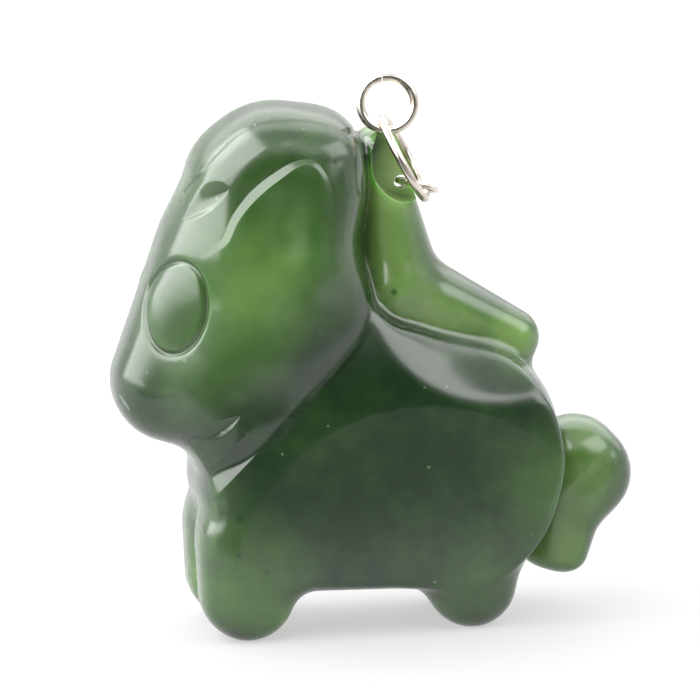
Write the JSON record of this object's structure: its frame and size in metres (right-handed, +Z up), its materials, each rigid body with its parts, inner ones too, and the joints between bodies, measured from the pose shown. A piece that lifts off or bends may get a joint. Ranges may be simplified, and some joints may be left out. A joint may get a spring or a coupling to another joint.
{
  "type": "jade pendant",
  "caption": "Pendant carved in the round from green jade as a chubby standing horse, drilled through the mane and hung on interlocked silver jump rings.",
  "frame": {"origin": "under the middle of the pendant's box, on the surface that the feet stand on", "axes": "-X is the way the horse faces, +Y runs through its thickness from the side shown in the picture to the other side, +Z is up"},
  "size_m": [0.0324, 0.015, 0.0356],
  "materials": {
    "jade": "polished, slightly translucent green nephrite with soft mottling",
    "silver": "polished silver wire"
  },
  "bodies": {
    "root": {"horse": "jade", "hole_ring": "silver", "link_ring": "silver", "top_ring": "silver"}
  },
  "joints": []
}
